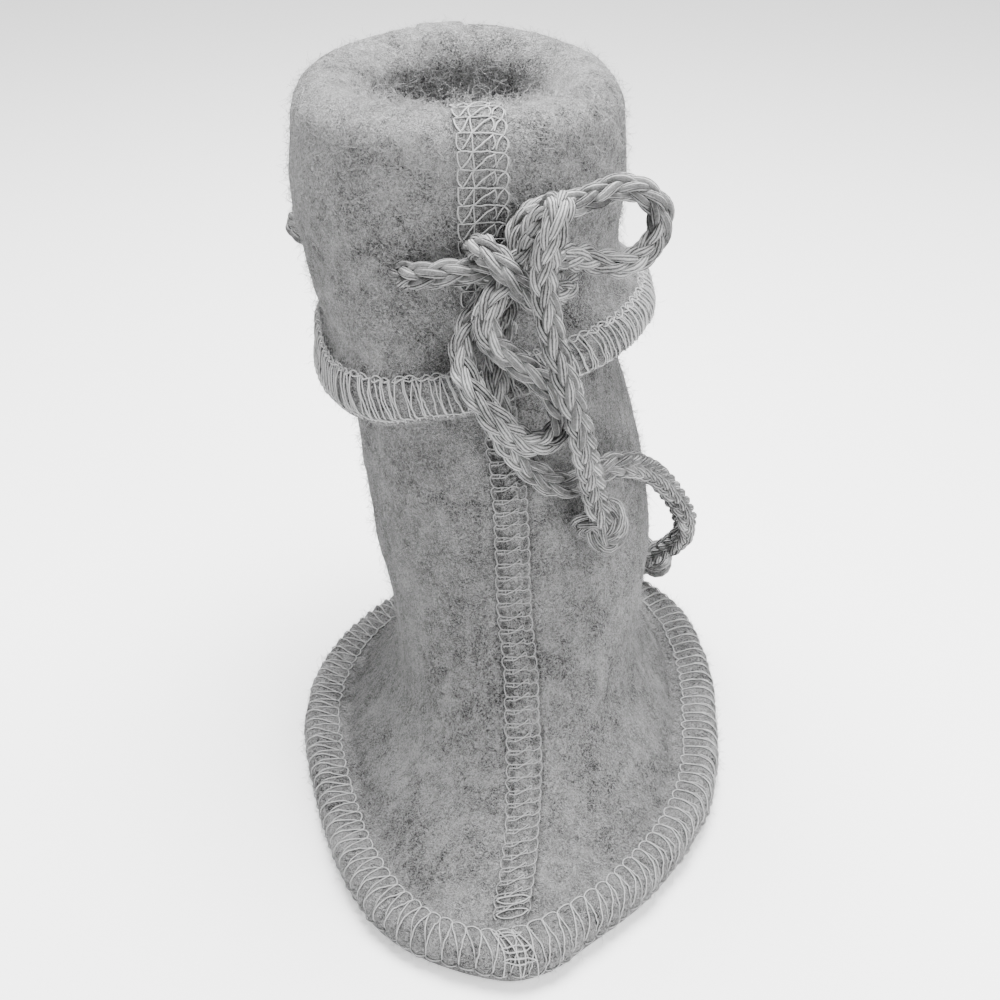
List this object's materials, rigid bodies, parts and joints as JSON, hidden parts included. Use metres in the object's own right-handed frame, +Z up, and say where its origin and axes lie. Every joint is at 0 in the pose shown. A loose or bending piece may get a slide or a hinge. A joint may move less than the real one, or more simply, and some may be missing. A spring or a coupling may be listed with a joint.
{
  "type": "baby's felt bootie",
  "caption": "Baby's grey wool felt bootie with a turned-down cuff and a knitted drawcord tied in a bow at the front.",
  "frame": {"origin": "on the floor under the middle of the sole's length", "axes": "+Z up, -Y towards the toe, +X to the right as seen from the front"},
  "size_m": [0.0778, 0.126, 0.1206],
  "materials": {
    "felt": "matte",
    "cord": "matte"
  },
  "bodies": {
    "root": {"sole": "felt", "upper": "felt", "cuff": "felt", "drawcord_bar_left": "cord", "drawcord_bar_right": "cord", "drawcord_back": "cord", "bow_knot": "cord", "bow_loop_side": "cord", "bow_loop_front": "cord", "cord_end_front": "cord", "cord_end_side": "cord", "end_knot_front": "cord", "end_knot_side": "cord"}
  },
  "joints": []
}
